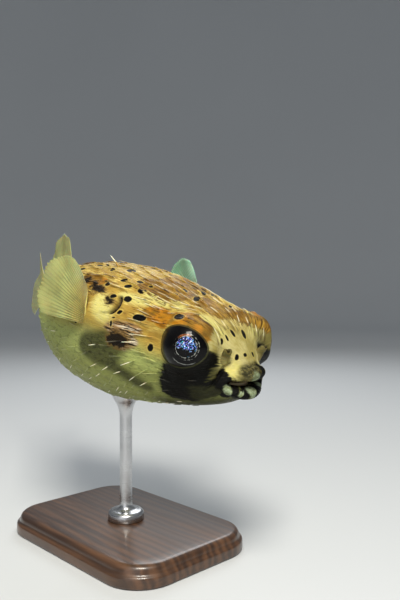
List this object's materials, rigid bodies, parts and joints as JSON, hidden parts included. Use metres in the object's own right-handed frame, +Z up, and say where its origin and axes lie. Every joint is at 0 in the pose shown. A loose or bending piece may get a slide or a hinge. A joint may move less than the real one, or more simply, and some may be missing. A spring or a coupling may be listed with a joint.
{
  "type": "porcupine pufferfish",
  "caption": "Porcupine pufferfish at life size, hovering nose-down with large eyes, thick lips, rounded fins and folded spines, held over a flat base by a short rod.",
  "frame": {"origin": "centre of the underside of the display base, below the rod", "axes": "+X towards the fish's snout, +Y to the fish's left, +Z up"},
  "size_m": [0.1886, 0.0713, 0.1319],
  "materials": {
    "skin": "moist fish skin, cream and amber with brown saddles and black spots, olive-grey belly",
    "beak": "smooth cream tooth plate",
    "eye": "wet glossy black eye with blue and turquoise flecks",
    "fin": "thin translucent membrane between pale rays",
    "stand_wood": "dark satin varnish",
    "stand_metal": "satin turned rod"
  },
  "bodies": {
    "root": {"head": "skin", "trunk": "skin", "tail_stalk": "skin", "lower_jaw": "skin", "beak_upper": "beak", "beak_lower": "beak", "eye_left": "eye", "eye_right": "eye", "pectoral_fin_left": "fin", "pectoral_fin_right": "fin", "dorsal_fin": "fin", "anal_fin": "fin", "tail_fin": "fin", "stand_base": "stand_wood", "stand_rod": "stand_metal"}
  },
  "joints": []
}
